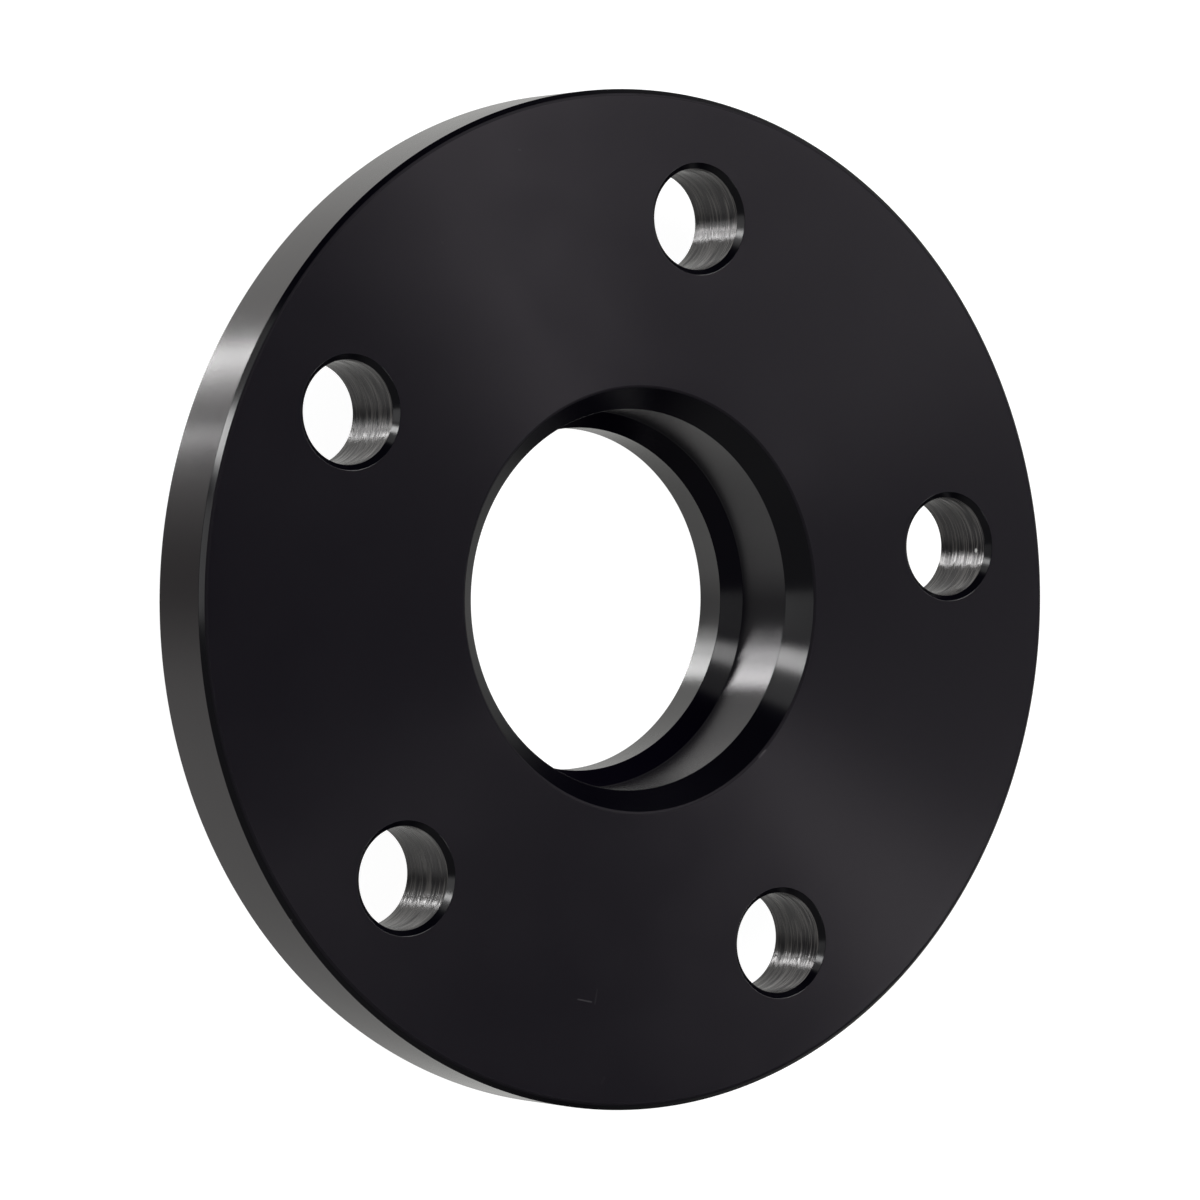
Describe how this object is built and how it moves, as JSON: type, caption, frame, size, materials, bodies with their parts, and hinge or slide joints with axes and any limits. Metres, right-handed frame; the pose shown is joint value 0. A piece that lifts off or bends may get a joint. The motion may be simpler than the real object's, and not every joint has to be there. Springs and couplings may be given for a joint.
{
  "type": "wheel spacer",
  "caption": "Turned disc that moves a wheel out from its hub, with a stepped centre bore, a centring lip and a circle of stud holes.",
  "frame": {"origin": "on the turning axis, at the end of the centring lip, on which the part lies", "axes": "+Z along the turning axis, out of the hub face; +Y through the centre of a stud hole"},
  "size_m": [0.15, 0.15, 0.022],
  "materials": {
    "black_anodised": "satin black anodised over fine turning marks, with bare metal walls in the stud holes"
  },
  "bodies": {
    "root": {"wheel_spacer": "black_anodised"}
  },
  "joints": []
}
